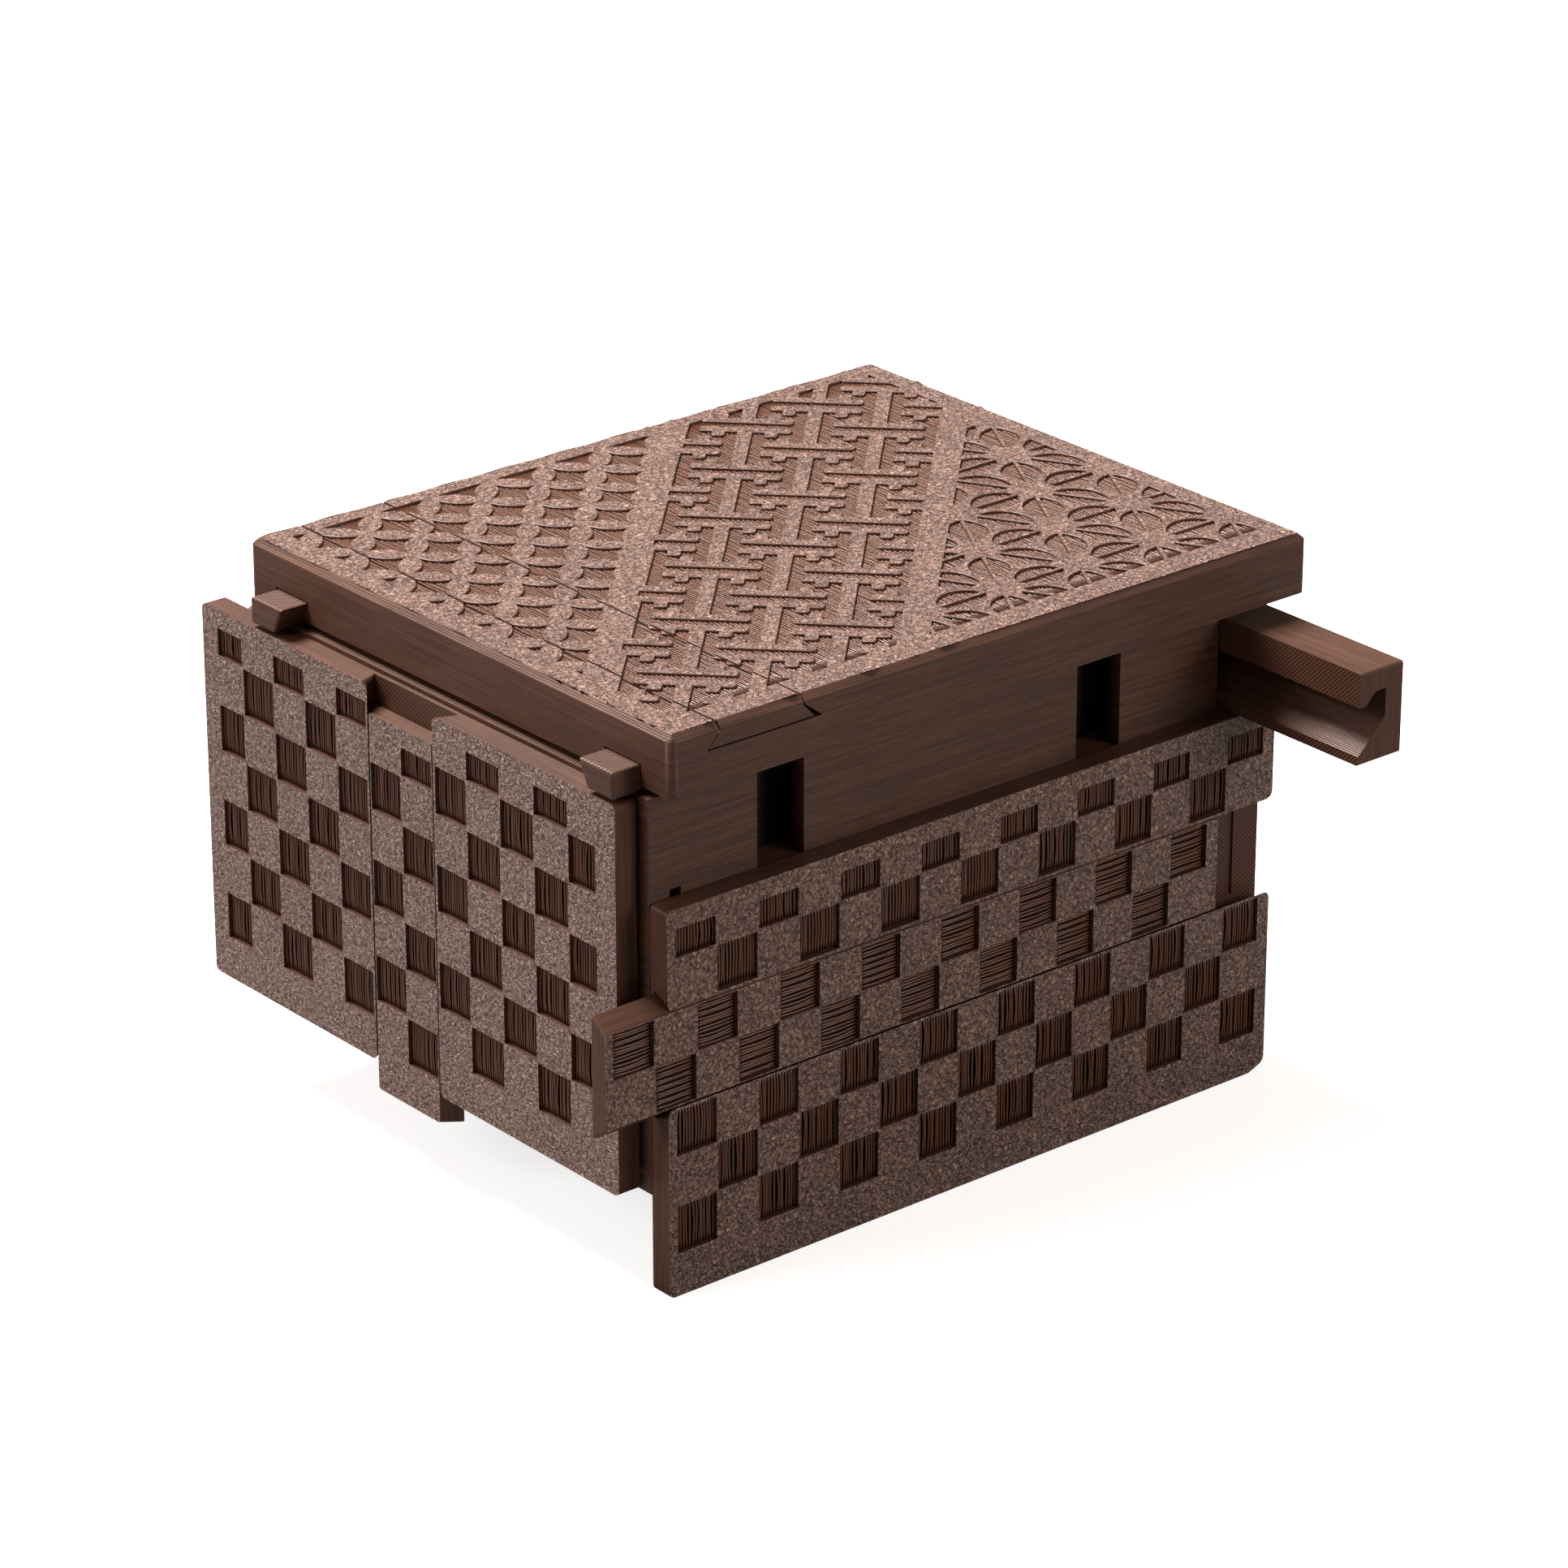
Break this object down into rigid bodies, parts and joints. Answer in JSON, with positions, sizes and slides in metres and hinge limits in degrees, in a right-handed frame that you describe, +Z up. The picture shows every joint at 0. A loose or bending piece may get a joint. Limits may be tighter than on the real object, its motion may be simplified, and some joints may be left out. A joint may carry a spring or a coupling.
{
  "type": "puzzle box",
  "caption": "3-D printed Japanese secret box with sliding checkered panels, dovetail key strips and a relief-patterned sliding lid, kept half solved",
  "frame": {"origin": "centre of the underside of the core floor, the face the closed box stands on", "axes": "+X along the long side towards the end with the upper sliding rail strip, -Y is the front face with three level strips, +Z up"},
  "size_m": [0.11, 0.1077, 0.0712],
  "materials": {
    "textured_print": "brown filament print with a wrinkled, stippled face, fine layer lines on its sides and ribbed recess floors",
    "core_print": "brown filament print, smooth walls with fine level layer lines",
    "slide_print": "brown filament print, fine top-face extrusion lines"
  },
  "bodies": {
    "root": {"core_floor": "core_print", "core_front_wall": "core_print", "core_back_wall": "core_print", "core_left_wall": "core_print", "core_right_wall": "core_print", "lid_rail_front": "slide_print", "lid_rail_back": "slide_print", "right_rail": "slide_print", "back_panel": "textured_print", "right_lower_panel": "textured_print"},
    "back_strip": {"back_strip": "textured_print"},
    "lid": {"lid": "textured_print"},
    "lid_key": {"lid_key": "textured_print"},
    "left_panel": {"left_panel": "textured_print", "left_runner_lower": "slide_print", "left_runner_upper": "slide_print"},
    "left_key": {"left_key": "textured_print"},
    "front_panel": {"front_panel": "textured_print", "front_runner_left": "slide_print", "front_runner_right": "slide_print"},
    "front_strip": {"front_strip": "textured_print"},
    "right_upper_strip": {"right_upper_strip": "textured_print"}
  },
  "joints": [
    {"name": "lid_slide", "type": "slide", "parent": "root", "child": "lid", "axis": [1, 0, 0], "range_m": [-0.004, 0.06]},
    {"name": "lid_key_slide", "type": "slide", "parent": "lid", "child": "lid_key", "axis": [0, 1, 0], "range_m": [-0.012, 0.012]},
    {"name": "left_panel_slide", "type": "slide", "parent": "root", "child": "left_panel", "axis": [0, 1, 0], "range_m": [-0.0024, 0]},
    {"name": "left_key_slide", "type": "slide", "parent": "left_panel", "child": "left_key", "axis": [0, 0, 1], "range_m": [0, 0.0037]},
    {"name": "front_panel_slide", "type": "slide", "parent": "root", "child": "front_panel", "axis": [0, 0, 1], "range_m": [-0.0031, 0]},
    {"name": "front_strip_slide", "type": "slide", "parent": "front_panel", "child": "front_strip", "axis": [1, 0, 0], "range_m": [0, 0.0092]},
    {"name": "right_strip_slide", "type": "slide", "parent": "root", "child": "right_upper_strip", "axis": [0, 1, 0], "range_m": [0, 0.0243]},
    {"name": "back_strip_slide", "type": "slide", "parent": "root", "child": "back_strip", "axis": [1, 0, 0], "range_m": [0, 0.0092]}
  ]
}
